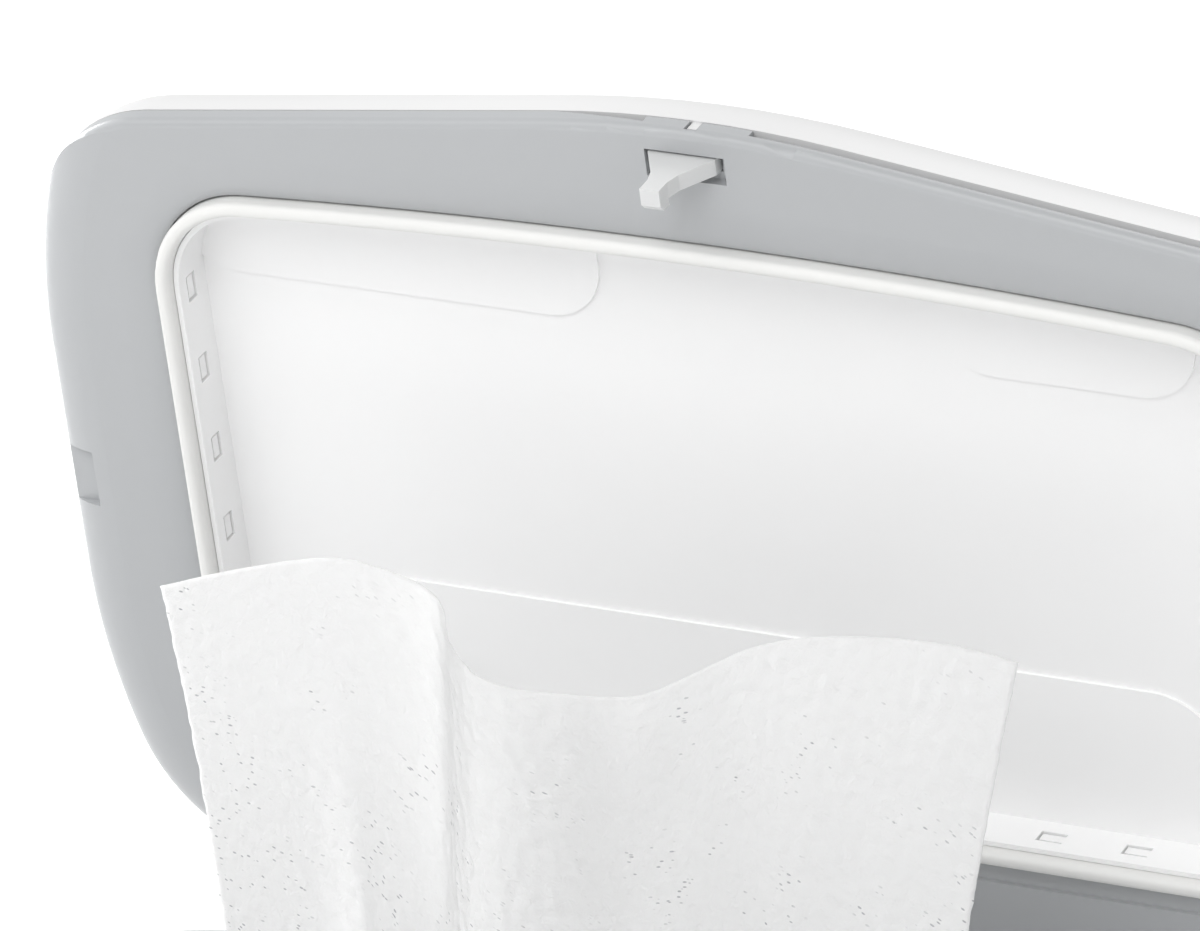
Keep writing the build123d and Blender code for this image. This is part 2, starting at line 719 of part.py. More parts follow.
def tray_retainer():
    """Frame behind the liner that clamps the seal ring and snaps into the tray's windows."""
    low = liner_z + liner_thickness
    frame = slab(ring_plan(ring_bead_width - retainer_width), low, low + retainer_height)
    frame -= slab(ring_plan(wall_inset() - seam_gap), low - 1, low + retainer_height + 1)
    around, mouth, front = snap_tab_gap
    window_low = liner_z + (tray_depth - tray_lip_back - window_size[1]) / 2
    for place in window_places():
        tab = window_box(place, -around, snap_tab_reach)
        ends = (place[2] - window_size[0] / 2 + front, place[2] + half_width)
        frame += tab & box((-half_width, half_width), ends, (window_low + mouth, low + retainer_height))
    return frame


def hook_screw_y():
    return hook_y + hook_base_size[1] / 2 + 1


def latch_hook():
    base, neck, tip = hook_half_widths
    top = hook_base_height
    points = [(-base, top), (-base, 0), (-neck, -hook_lengths[0]), (-tip, -hook_lengths[1]),
              (-tip, -hook_lengths[2]), (tip, -hook_lengths[2]), (tip, -hook_lengths[1]),
              (neck, -hook_lengths[0]), (base, 0), (base, top)]
    section = make_face(Polyline(*points, close=True))
    plane = Plane((0, hook_front_y, liner_z), x_dir=(1, 0, 0), z_dir=(0, 1, 0))
    web = extrude(plane * (Rot(0, 0, 0) * mirror(section, Plane.XZ)), hook_thickness)
    barb_low = liner_z - hook_lengths[2]
    barb_top = liner_z - hook_lengths[1]
    barb = box((-tip, tip), (hook_rear_y - 1, barb_rear_y), (barb_low, barb_top))
    lead = [e for e in barb.edges().filter_by(Axis.X)
            if abs(e.center().Y - barb_rear_y) < 0.01 and abs(e.center().Z - barb_low) < 0.01]
    barb = chamfer(lead, hook_barb * 0.8)
    plate_front = hook_front_y - 0.4
    plate = box((-hook_base_size[0] / 2, hook_base_size[0] / 2), (plate_front, plate_front + hook_base_size[1]),
                (liner_z + top, liner_z + top + hook_base_size[2]))
    hook = web + barb + plate
    for x in (-hook_screw_x, hook_screw_x):
        hook -= rod_z(screw_radius + screw_fit, liner_z + top - 1, liner_z + top + 4, x, hook_screw_y())
    return hook


def hook_screws():
    screws = []
    plate_low = liner_z + hook_base_height
    for x in (-hook_screw_x, hook_screw_x):
        screw = rod_z(screw_radius, plate_low, plate_low + hook_base_size[2] + 6, x, hook_screw_y())
        screw += rod_z(screw_head_radius, plate_low - screw_head_height, plate_low, x, hook_screw_y())
        screws.append(screw)
    return screws


# ---------------------------------------------------------------- follower plate and wipes
def plate_section(grow):
    shrink = plate_side_gap - grow
    return Pos(0, tub_centre_y) * RectangleRounded(2 * (tub_half_width - shrink), 2 * (tub_half_depth - shrink),
                                                   tub_corner - shrink)


def slot_section(grow):
    return Pos(0, tub_centre_y) * SlotOverall(slot_size[0] + 2 * grow, slot_size[1] + 2 * grow)


def weight_plate():
    plate = slab(plate_section(0), plate_bottom, plate_top)
    plate = fillet(edges_at(plate, plate_top), 2.0)
    hollow = slab(plate_section(-plate_skin), plate_bottom - 1, plate_top - plate_skin)
    collar = slab(slot_section(grommet_rim + plate_skin), plate_bottom, plate_top)
    plate = plate - hollow + collar
    plate -= slab(slot_section(0), plate_bottom - 1, plate_top + 1)
    plate -= slab(slot_section(grommet_rim), plate_top - grommet_height / 2, plate_top + 1)
    return plate


def plate_cover():
    """Sheet that closes the plate from below and carries the ballast."""
    low = plate_bottom
    cover = slab(plate_section(-plate_skin - 0.1), low, low + cover_thickness)
    return cover - slab(slot_section(grommet_rim + plate_skin + 0.1), low - 1, low + cover_thickness + 1)


def ballast_bars():
    low = plate_bottom + cover_thickness
    near = slot_size[0] / 2 + grommet_rim + plate_skin + slide_gap
    far = tub_half_width - plate_side_gap - plate_skin - slide_gap
    y_span = (tub_centre_y - ballast_depth / 2, tub_centre_y + ballast_depth / 2)
    return [box(sorted((side * near, side * far)), y_span, (low, low + ballast_thickness))
            for side in (-1, 1)]


def slot_grommet():
    """Soft ring round the slot with an inward lip that brakes the wipe."""
    low = plate_top - grommet_height / 2
    ring = slab(slot_section(grommet_rim - screw_fit), low, low + grommet_height)
    ring -= slab(slot_section(-grommet_lip / 2), low - 1, low + grommet_height + 1)
    return fillet(edges_at(ring, low + grommet_height), 1.0)


def wipe_stack():
    size = 2 * (tub_half_width - stack_side_gap), 2 * (tub_half_depth - stack_side_gap)
    section = Pos(0, tub_centre_y) * RectangleRounded(size[0], size[1], tub_corner - stack_side_gap)
    return slab(section, stack_bottom, stack_bottom + stack_height)


def wipe_band(z, width, swing, lean):
    """Closed S-shaped band: the wipe's section at one height."""
    count = 13
    half = wipe_thickness / 2
    xs = [width * (i / (count - 1) - 0.5) for i in range(count)]
    ys = [tub_centre_y + lean - swing * sin(2.2 * pi * x / width) for x in xs]
    front = Spline(*[(x, y - half, z) for x, y in zip(xs, ys)])
    rear = Spline(*[(x, y + half, z) for x, y in zip(reversed(xs), reversed(ys))])
    ends = [Line(front @ 1, rear @ 0), Line(rear @ 1, front @ 0)]
    return make_face(Wire([front, ends[0], rear, ends[1]]))


def popped_wipe():
    """Next wipe standing out of the slot: gathered below, fanned into two lobes above."""
    throat_low, throat_high = plate_bottom, plate_top + grommet_height
    top = plate_top + wipe_reach
    fanned = wipe_top_width
    levels = [(throat_low, wipe_throat, 0.3, 0), (throat_high, wipe_throat, 0.6, 0),
              (throat_high + 34, fanned * 0.84, wipe_wave * 0.6, wipe_lean * 0.4),
              (throat_high + 62, fanned * 0.93, wipe_wave * 0.9, wipe_lean * 0.7),
              (top, fanned, wipe_wave, wipe_lean)]
    fan = loft([wipe_band(*level) for level in levels])
    half = fanned / 2 + 1
    count = 9
    xs = [half * (2 * i / (count - 1) - 1) for i in range(count)]
    crest = [top - 1 - wipe_dip * cos(pi * x / (1.16 * half)) ** 2 * (abs(x) < 0.58 * half) for x in xs]
    curve = Spline(*[(x, z) for x, z in zip(xs, crest)])
    ceiling = top + 5
    closing = Polyline((half, crest[-1]), (half, ceiling), (-half, ceiling), (-half, crest[0]))
    area = make_face(Wire([curve] + list(closing.edges())))
    cutter = extrude(Plane((0, -tub_half_depth, 0), x_dir=(1, 0, 0), z_dir=(0, -1, 0)) * area,
                     -2 * tub_half_depth)
    return fan - cutter


# ---------------------------------------------------------------- write the parts
def nodes():
    fixed = dict(body_shell=body_shell(), base_plate=base_plate(), base_screws=base_screws(),
                 grip_pad=grip_pad(), inner_tub=inner_tub(), top_frame=top_frame(),
                 button_guide=button_guide(), button_spring=button_spring(), release_button=release_button(),
                 latch_catch=latch_catch(), hinge_brackets=hinge_brackets(), bracket_screws=bracket_screws(),
                 hinge_pins=hinge_pins(), torsion_springs=torsion_springs(), weight_plate=weight_plate(),
                 plate_cover=plate_cover(), ballast_bars=ballast_bars(), slot_grommet=slot_grommet(),
                 wipe_stack=wipe_stack(), popped_wipe=popped_wipe())
    lid = dict(lid_shell=lid_shell(), lid_liner=lid_liner(), seal_ring=seal_ring(), recess_tray=recess_tray(),
               tray_retainer=tray_retainer(), latch_hook=latch_hook(), hook_screws=hook_screws())
    for name, shape in lid.items():
        pieces = shape if isinstance(shape, list) else [shape]
        opened = [swing_open(piece) for piece in pieces]
        fixed[name] = opened
    return fixed


def main():
    os.makedirs("parts", exist_ok=True)
    for name, shape in nodes().items():
        pieces = shape if isinstance(shape, list) else [shape]
        solids = [solid for piece in pieces for solid in piece.solids()]
        node = solids[0] if len(solids) == 1 else Compound(children=solids)
        node.label = name
        export_step(node, f"parts/{name}.step")
        print(f"{name}: {len(solids)} solid(s), {sum(s.volume for s in solids) / 1000:.2f} cm3")


if __name__ == "__main__":
    main()
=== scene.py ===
"""Looks of the countertop wipes box: its finishes, the standing wipe, the studio and the camera.

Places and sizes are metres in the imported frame. Colours are sRGB hex values.
"""
from __future__ import annotations

import json
import logging
import math
from dataclasses import dataclass, field
from enum import Enum

import bpy
import numpy as np
from mathutils import Matrix, Vector

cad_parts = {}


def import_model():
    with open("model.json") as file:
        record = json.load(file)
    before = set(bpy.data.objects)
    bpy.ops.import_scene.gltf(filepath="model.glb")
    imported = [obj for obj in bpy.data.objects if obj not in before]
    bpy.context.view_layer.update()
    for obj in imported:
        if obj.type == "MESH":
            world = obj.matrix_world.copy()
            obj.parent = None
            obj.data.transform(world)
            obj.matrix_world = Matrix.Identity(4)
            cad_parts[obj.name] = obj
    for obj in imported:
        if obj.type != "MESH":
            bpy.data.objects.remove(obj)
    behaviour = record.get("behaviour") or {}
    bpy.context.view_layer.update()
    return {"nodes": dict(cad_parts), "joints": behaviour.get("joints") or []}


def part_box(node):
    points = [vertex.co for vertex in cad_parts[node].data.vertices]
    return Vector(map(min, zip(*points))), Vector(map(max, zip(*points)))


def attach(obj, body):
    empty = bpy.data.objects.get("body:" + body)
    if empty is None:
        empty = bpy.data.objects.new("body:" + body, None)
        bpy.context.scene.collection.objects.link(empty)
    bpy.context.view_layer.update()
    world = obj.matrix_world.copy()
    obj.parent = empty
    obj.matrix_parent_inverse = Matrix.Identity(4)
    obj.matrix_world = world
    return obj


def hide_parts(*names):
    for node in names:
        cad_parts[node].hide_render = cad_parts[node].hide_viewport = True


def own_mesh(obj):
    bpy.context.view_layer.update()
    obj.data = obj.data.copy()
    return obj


LOG = logging.getLogger("wipes_box")
MM = 0.001


# ---------------------------------------------------------------- small helpers
def linear(hex_colour: str) -> tuple[float, float, float, float]:
    """Turns an sRGB hex colour into linear RGBA.

    Args:
        hex_colour: six hex digits.

    Returns:
        Linear red, green, blue and an alpha of 1.
    """
    parts = [int(hex_colour[i:i + 2], 16) / 255 for i in (0, 2, 4)]
    red, green, blue = (p / 12.92 if p <= 0.04045 else ((p + 0.055) / 1.055) ** 2.4 for p in parts)
    return (red, green, blue, 1.0)


def add_node(tree: bpy.types.NodeTree, kind: str, inputs: dict | None = None, **settings) -> bpy.types.Node:
    """Adds one shader node with its settings, values and links.

    Args:
        tree: the tree that gets the node.
        kind: node type without its ShaderNode prefix.
        inputs: socket name or number to a value, or to the output socket that feeds it.
        **settings: attributes of the node itself.

    Returns:
        The new node.
    """
    node = tree.nodes.new("ShaderNode" + kind)
    for name, value in settings.items():
        setattr(node, name, value)
    for name, value in (inputs or {}).items():
        if isinstance(value, bpy.types.NodeSocket):
            tree.links.new(value, node.inputs[name])
        else:
            node.inputs[name].default_value = value
    return node


def per_mm(size: float) -> float:
    """Gives the scale at which a texture's features have a size.

    Args:
        size: the features' size in millimetres.

    Returns:
        Features per metre.
    """
    return 1 / (size * MM)


def empty_material(name: str) -> tuple[bpy.types.Material, bpy.types.NodeTree]:
    """Makes a node material with no nodes yet.

    Args:
        name: name of the material.

    Returns:
        The material and its cleared node tree.
    """
    material = bpy.data.materials.new(name)
    material.use_nodes = True
    material.node_tree.nodes.clear()
    return material, material.node_tree


def grid_mesh(name: str, points: np.ndarray, uv: np.ndarray) -> bpy.types.Object:
    """Makes an object from a grid of points.

    Args:
        name: name of the object.
        points: array of rows, columns and xyz.
        uv: array of rows, columns and the flat place of each point.

    Returns:
        The object, linked to the scene, at the origin.
    """
    rows, columns = points.shape[:2]
    corner = (np.arange(rows - 1)[:, None] * columns + np.arange(columns - 1)[None, :]).ravel()
    faces = np.stack([corner, corner + 1, corner + columns + 1, corner + columns], axis=1)
    mesh = bpy.data.meshes.new(name)
    mesh.from_pydata(points.reshape(-1, 3).tolist(), [], faces.tolist())
    layer = mesh.uv_layers.new(name="flat")
    layer.data.foreach_set("uv", uv.reshape(-1, 2)[faces.ravel()].astype(np.float32).ravel())
    mesh.polygons.foreach_set("use_smooth", np.ones(len(faces), dtype=bool))
    mesh.update()
    piece = bpy.data.objects.new(name, mesh)
    bpy.context.scene.collection.objects.link(piece)
    return piece


def settle(piece: bpy.types.Object) -> None:
    """Bakes a piece's modifiers into its own mesh.

    Args:
        piece: the object to bake.
    """
    bpy.context.view_layer.update()
    baked = bpy.data.meshes.new_from_object(piece.evaluated_get(bpy.context.evaluated_depsgraph_get()))
    piece.modifiers.clear()
    piece.data = baked


def smooth_path(points: np.ndarray, count: int) -> np.ndarray:
    """Runs a Catmull-Rom curve through points and spaces it evenly by length.

    Args:
        points: array of points to pass through.
        count: how many evenly spaced points to return.

    Returns:
        Array of count points.
    """
    ends = np.vstack([2 * points[0] - points[1], points, 2 * points[-1] - points[-2]])
    spans = len(points) - 1
    place = np.linspace(0, spans, 60 * spans + 1)
    index = np.minimum(place.astype(int), spans - 1)
    t = (place - index)[:, None]
    a, b, c, d = (ends[index + k] for k in range(4))
    dense = 0.5 * (2 * b + (c - a) * t + (2 * a - 5 * b + 4 * c - d) * t ** 2
                   + (3 * b - a - 3 * c + d) * t ** 3)
    run = np.concatenate([[0], np.cumsum(np.linalg.norm(np.diff(dense, axis=0), axis=1))])
    even = np.linspace(0, run[-1], count)
    return np.stack([np.interp(even, run, dense[:, k]) for k in range(points.shape[1])], axis=1)


# ---------------------------------------------------------------- finishes
class Coordinates(Enum):
    """What a finish's pattern follows."""

    SOLID = "Object"
    SURFACE = "UV"


@dataclass(frozen=True)
class MouldedPlastic:
    """Injection-moulded plastic: even colour, a tooled grain and slow changes in gloss."""

    name: str
    colour: str
    roughness: float
    grain_mm: float = 0.5
    grain_depth_mm: float = 0.006
    tone_change: float = 0.025
    tone_mm: float = 60.0
    gloss_change: float = 0.2
    ior: float = 1.53
    glow_in: float = 0.0
    glow_mm: float = 1.5

    def material(self) -> bpy.types.Material:
        """Builds the material.

        Returns:
            A material whose grain, gloss and tone follow Object coordinates.
        """
        material, tree = empty_material(self.name)
        place = add_node(tree, "TexCoord").outputs[Coordinates.SOLID.value]
        slow = add_node(tree, "TexNoise", {"Vector": place, "Scale": per_mm(self.tone_mm), "Detail": 2.0})
        tone = add_node(tree, "MapRange", {"Value": slow.outputs["Fac"],
                                           "To Min": 1 - self.tone_change, "To Max": 1 + self.tone_change})
        colour = add_node(tree, "HueSaturation", {"Color": linear(self.colour), "Value": tone.outputs[0]})
        gloss = add_node(tree, "MapRange", {"Value": slow.outputs["Fac"],
                                            "To Min": self.roughness * (1 - self.gloss_change),
                                            "To Max": self.roughness * (1 + self.gloss_change)})
        grain = add_node(tree, "TexNoise", {"Vector": place, "Scale": per_mm(self.grain_mm), "Detail": 1.0})
        bump = add_node(tree, "Bump", {"Height": grain.outputs["Fac"], "Strength": 1.0,
                                       "Distance": self.grain_depth_mm * MM})
        shader = add_node(tree, "BsdfPrincipled", {
            "Base Color": colour.outputs[0], "Roughness": gloss.outputs[0], "IOR": self.ior,
            "Normal": bump.outputs[0], "Subsurface Weight": self.glow_in,
            "Subsurface Radius": (1.0, 1.0, 1.0), "Subsurface Scale": self.glow_mm * MM})
        add_node(tree, "OutputMaterial", {"Surface": shader.outputs[0]})
        return material


@dataclass(frozen=True)
class PlatedSteel:
    """Zinc-plated steel: grey metal with fine drawn lines and cloudy gloss."""

    name: str
    colour: str = "B9BBBD"
    roughness: float = 0.32
    gloss_range: tuple[float, float] = (0.75, 1.3)
    line_mm: float = 0.25
    line_depth_mm: float = 0.01
    line_stretch: tuple[float, float, float] = (0.05, 1.0, 1.0)

    def material(self) -> bpy.types.Material:
        """Builds the material.

        Returns:
            A metal whose lines follow Object coordinates, stretched along X.
        """
        material, tree = empty_material(self.name)
        place = add_node(tree, "TexCoord").outputs[Coordinates.SOLID.value]
        drawn = add_node(tree, "Mapping", {"Vector": place, "Scale": self.line_stretch})
        lines = add_node(tree, "TexNoise", {"Vector": drawn.outputs[0], "Scale": per_mm(self.line_mm)})
        gloss = add_node(tree, "MapRange", {"Value": lines.outputs["Fac"],
                                            "To Min": self.roughness * self.gloss_range[0],
                                            "To Max": self.roughness * self.gloss_range[1]})
        bump = add_node(tree, "Bump", {"Height": lines.outputs["Fac"], "Distance": self.line_depth_mm * MM})
        shader = add_node(tree, "BsdfPrincipled", {
            "Base Color": linear(self.colour), "Metallic": 1.0, "Roughness": gloss.outputs[0],
            "Normal": bump.outputs[0]})
        add_node(tree, "OutputMaterial", {"Surface": shader.outputs[0]})
        return material


@dataclass(frozen=True)
class Nonwoven:
    """Hydro-entangled nonwoven: matt white fibre felt, crinkled by its embossing, with small slits.

    The slits come in patches, more of them towards the sheet's lower end and its first side.
    """

    name: str
    colour: str = "DDDDDD"
    slit_colour: str = "929396"
    roughness: float = 0.85
    sheen: float = 0.15
    glow_in: float = 0.8
    glow_mm: float = 4.0
    crinkle_mm: float = 2.2
    crinkle_depth_mm: float = 0.34
    fibre_mm: float = 0.35
    fibre_share: float = 0.18
    slit_mm: float = 1.35
    slit_stretch: tuple[float, float, float] = (0.5, 1.6, 1.0)
    slit_turn: float = 17.0
    slit_patch_mm: float = 13.0
    slit_height_mm: float = 82.0
    slit_thinning: float = 3.2
    slit_edge_mm: float = 26.0
    slit_edge_gain: float = 0.14
    slit_radius: tuple[float, float] = (0.13, 0.22)
    slit_cover: tuple[float, float] = (0.55, 0.66)

    def material(self) -> bpy.types.Material:
        """Builds the material.

        Returns:
            A cloth whose crinkle, fibres and slits follow the piece's flat UV map.
        """
        material, tree = empty_material(self.name)
        place = add_node(tree, "TexCoord").outputs[Coordinates.SURFACE.value]
        crinkle = add_node(tree, "TexNoise", {"Vector": place, "Scale": per_mm(self.crinkle_mm),
                                              "Detail": 3.0, "Distortion": 0.6})
        fibre = add_node(tree, "TexNoise", {"Vector": place, "Scale": per_mm(self.fibre_mm), "Detail": 2.0})
        height = add_node(tree, "Math", {0: fibre.outputs["Fac"], 1: self.fibre_share,
                                         2: crinkle.outputs["Fac"]}, operation="MULTIPLY_ADD")
        bump = add_node(tree, "Bump", {"Height": height.outputs[0], "Distance": self.crinkle_depth_mm * MM})
        turned = add_node(tree, "Mapping", {"Vector": place,
                                            "Rotation": (0, 0, math.radians(self.slit_turn))})
        squeezed = add_node(tree, "Mapping", {"Vector": turned.outputs[0], "Scale": self.slit_stretch})
        cells = add_node(tree, "TexVoronoi", {"Vector": squeezed.outputs[0], "Scale": per_mm(self.slit_mm)})
        hole = add_node(tree, "MapRange", {"Value": cells.outputs["Distance"],
                                           "From Min": self.slit_radius[0], "From Max": self.slit_radius[1],
                                           "To Min": 1.0, "To Max": 0.0})
        patch = add_node(tree, "TexNoise", {"Vector": place, "Scale": per_mm(self.slit_patch_mm),
                                            "Detail": 3.0})
        up = add_node(tree, "SeparateXYZ", {"Vector": place})
        lower = add_node(tree, "Math", {0: up.outputs["Y"], 1: -self.slit_thinning,
                                        2: self.slit_thinning * self.slit_height_mm * MM},
                         operation="MULTIPLY_ADD")
        beside = add_node(tree, "MapRange", {"Value": up.outputs["X"], "From Max": self.slit_edge_mm * MM,
                                             "To Min": self.slit_edge_gain, "To Max": 0.0})
        reach = add_node(tree, "Math", {0: lower.outputs[0], 1: beside.outputs[0]}, operation="ADD")
        cover = add_node(tree, "Math", {0: patch.outputs["Fac"], 1: reach.outputs[0]}, operation="ADD")
        where = add_node(tree, "MapRange", {"Value": cover.outputs[0], "From Min": self.slit_cover[0],
                                            "From Max": self.slit_cover[1]})
        slits = add_node(tree, "Math", {0: hole.outputs[0], 1: where.outputs[0]}, operation="MULTIPLY")
        colour = add_node(tree, "Mix", {"Factor": slits.outputs[0], "A": linear(self.colour),
                                        "B": linear(self.slit_colour)}, data_type="RGBA")
        shader = add_node(tree, "BsdfPrincipled", {
            "Base Color": colour.outputs["Result"], "Roughness": self.roughness, "Normal": bump.outputs[0],
            "Sheen Weight": self.sheen, "Subsurface Weight": self.glow_in,
            "Subsurface Radius": (1.0, 1.0, 1.0), "Subsurface Scale": self.glow_mm * MM})
        add_node(tree, "OutputMaterial", {"Surface": shader.outputs[0]})
        return material


# ---------------------------------------------------------------- sub-assemblies
class Along(Enum):
    """Direction in which a node gives way."""

    Y = (0, 1, 0)
    Z = (0, 0, 1)


class Fixed(Enum):
    """End of a node's box that stays in place when the node gives way."""

    LOW = 0
    HIGH = 1


@dataclass
class SubAssembly:
    """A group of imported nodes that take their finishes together."""

    nodes: dict[str, bpy.types.Object]

    def wear(self, finish: MouldedPlastic | PlatedSteel, *names: str) -> None:
        """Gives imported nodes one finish.

        Args:
            finish: the finish that they get.
            *names: the nodes.
        """
        material = finish.material()
        for name in names:
            mesh = self.nodes[name].data
            mesh.materials.clear()
            mesh.materials.append(material)
        LOG.info("%s on %s", finish.name, ", ".join(names))

    def give_way(self, name: str, joint: dict, along: Along, fixed: Fixed) -> None:
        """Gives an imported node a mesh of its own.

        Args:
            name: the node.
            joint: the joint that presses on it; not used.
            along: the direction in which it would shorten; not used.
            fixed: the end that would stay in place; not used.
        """
        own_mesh(self.nodes[name])


@dataclass
class Lid(SubAssembly):
    """Domed cover, panel, seal, tray and hook."""

    cover: MouldedPlastic = MouldedPlastic("moulded_abs_white", "E1E1E1", 0.34, grain_depth_mm=0.002)
    panel: MouldedPlastic = MouldedPlastic("moulded_abs_light_grey", "B1B3B5", 0.34, grain_mm=0.4)
    tray: MouldedPlastic = MouldedPlastic("moulded_pp_white", "F9F9F9", 0.4, grain_depth_mm=0.003)
    seal: MouldedPlastic = MouldedPlastic("moulded_silicone_white", "E9E9E7", 0.45, ior=1.43, glow_in=0.15)
    hook: MouldedPlastic = MouldedPlastic("moulded_acetal_white", "D9DADA", 0.36, ior=1.48, glow_in=0.1)

    def dress(self) -> None:
        """Finishes the lid's nodes."""
        self.wear(self.cover, "lid_shell")
        self.wear(self.panel, "lid_liner")
        self.wear(self.tray, "recess_tray", "tray_retainer")
        self.wear(self.seal, "seal_ring")
        self.wear(self.hook, "latch_hook")
        self.wear(PlatedSteel("plated_screw_steel"), "hook_screws")


@dataclass
class Body(SubAssembly):
    """Shell, tub, frame, base, latch and hinge metal."""

    shell: MouldedPlastic = MouldedPlastic("moulded_abs_white_body", "E1E1E1", 0.34, grain_depth_mm=0.002)
    land: MouldedPlastic = MouldedPlastic("moulded_abs_grey_land", "B9BBBD", 0.42, grain_mm=0.4)
    tub: MouldedPlastic = MouldedPlastic("moulded_pp_tub", "EDEDED", 0.5)
    sole: MouldedPlastic = MouldedPlastic("moulded_tpe_sole", "7C7D80", 0.75, grain_mm=1.2,
                                          grain_depth_mm=0.05, ior=1.5)
    catch: MouldedPlastic = MouldedPlastic("moulded_acetal_catch", "F2F2F1", 0.36, ior=1.48)

    def dress(self) -> None:
        """Finishes the body's nodes."""
        self.wear(self.shell, "body_shell", "hinge_brackets")
        self.wear(self.land, "top_frame", "release_button")
        self.wear(self.tub, "inner_tub", "base_plate", "button_guide")
        self.wear(self.sole, "grip_pad")
        self.wear(self.catch, "latch_catch")
        self.wear(PlatedSteel("plated_steel"), "base_screws", "bracket_screws", "hinge_pins",
                  "torsion_springs", "button_spring")


@dataclass
class Follower(SubAssembly):
    """Plate that sinks with the pack, its ballast and the soft ring round its slot."""

    plate: MouldedPlastic = MouldedPlastic("moulded_abs_plate", "F0F0F0", 0.38, grain_depth_mm=0.003)
    grommet: MouldedPlastic = MouldedPlastic("moulded_silicone_grommet", "E4E4E2", 0.5, ior=1.43,
                                             glow_in=0.15)
    stack: MouldedPlastic = MouldedPlastic("nonwoven_stack", "F1F1F0", 0.9, grain_mm=1.5, grain_depth_mm=0.2)

    def dress(self) -> None:
        """Finishes the follower's nodes."""
        self.wear(self.plate, "weight_plate", "plate_cover")
        self.wear(self.grommet, "slot_grommet")
        self.wear(PlatedSteel("ballast_steel"), "ballast_bars")
        self.wear(self.stack, "wipe_stack")


